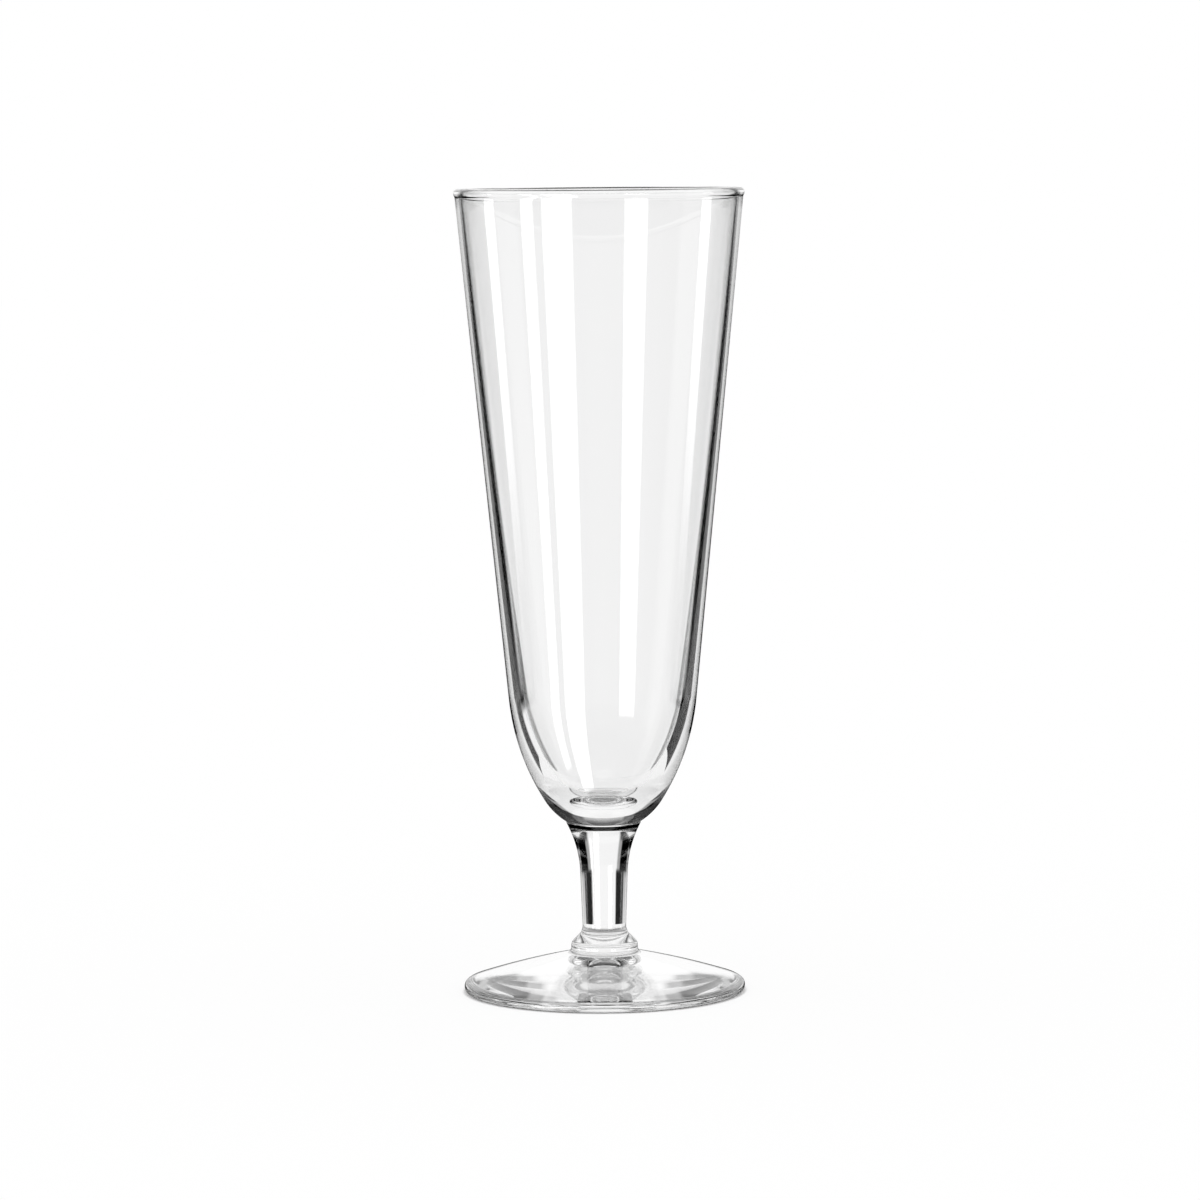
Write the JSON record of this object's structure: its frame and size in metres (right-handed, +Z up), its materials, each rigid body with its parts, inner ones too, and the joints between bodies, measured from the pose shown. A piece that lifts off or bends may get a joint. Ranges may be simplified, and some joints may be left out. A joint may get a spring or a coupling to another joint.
{
  "type": "pilsner glass",
  "caption": "Footed pilsner glass: a tall straight cone of clear glass that curves in to a short flared stem, a collar and a domed round foot, open at the rim.",
  "frame": {"origin": "centre of the ring that the foot rests on, in the plane of the table", "axes": "+Z up along the glass's axis, through the stem to the rim; the glass is round, so X and Y are free"},
  "size_m": [0.0742, 0.0742, 0.2064],
  "materials": {
    "bowl": "clear blown soda-lime glass, fire-polished",
    "stem": "clear drawn soda-lime glass, fire-polished",
    "foot_collar": "clear pressed soda-lime glass, fire-polished",
    "foot": "clear pressed soda-lime glass, fire-polished"
  },
  "bodies": {
    "root": {"bowl": "bowl", "stem": "stem", "foot_collar": "foot_collar", "foot": "foot"}
  },
  "joints": []
}
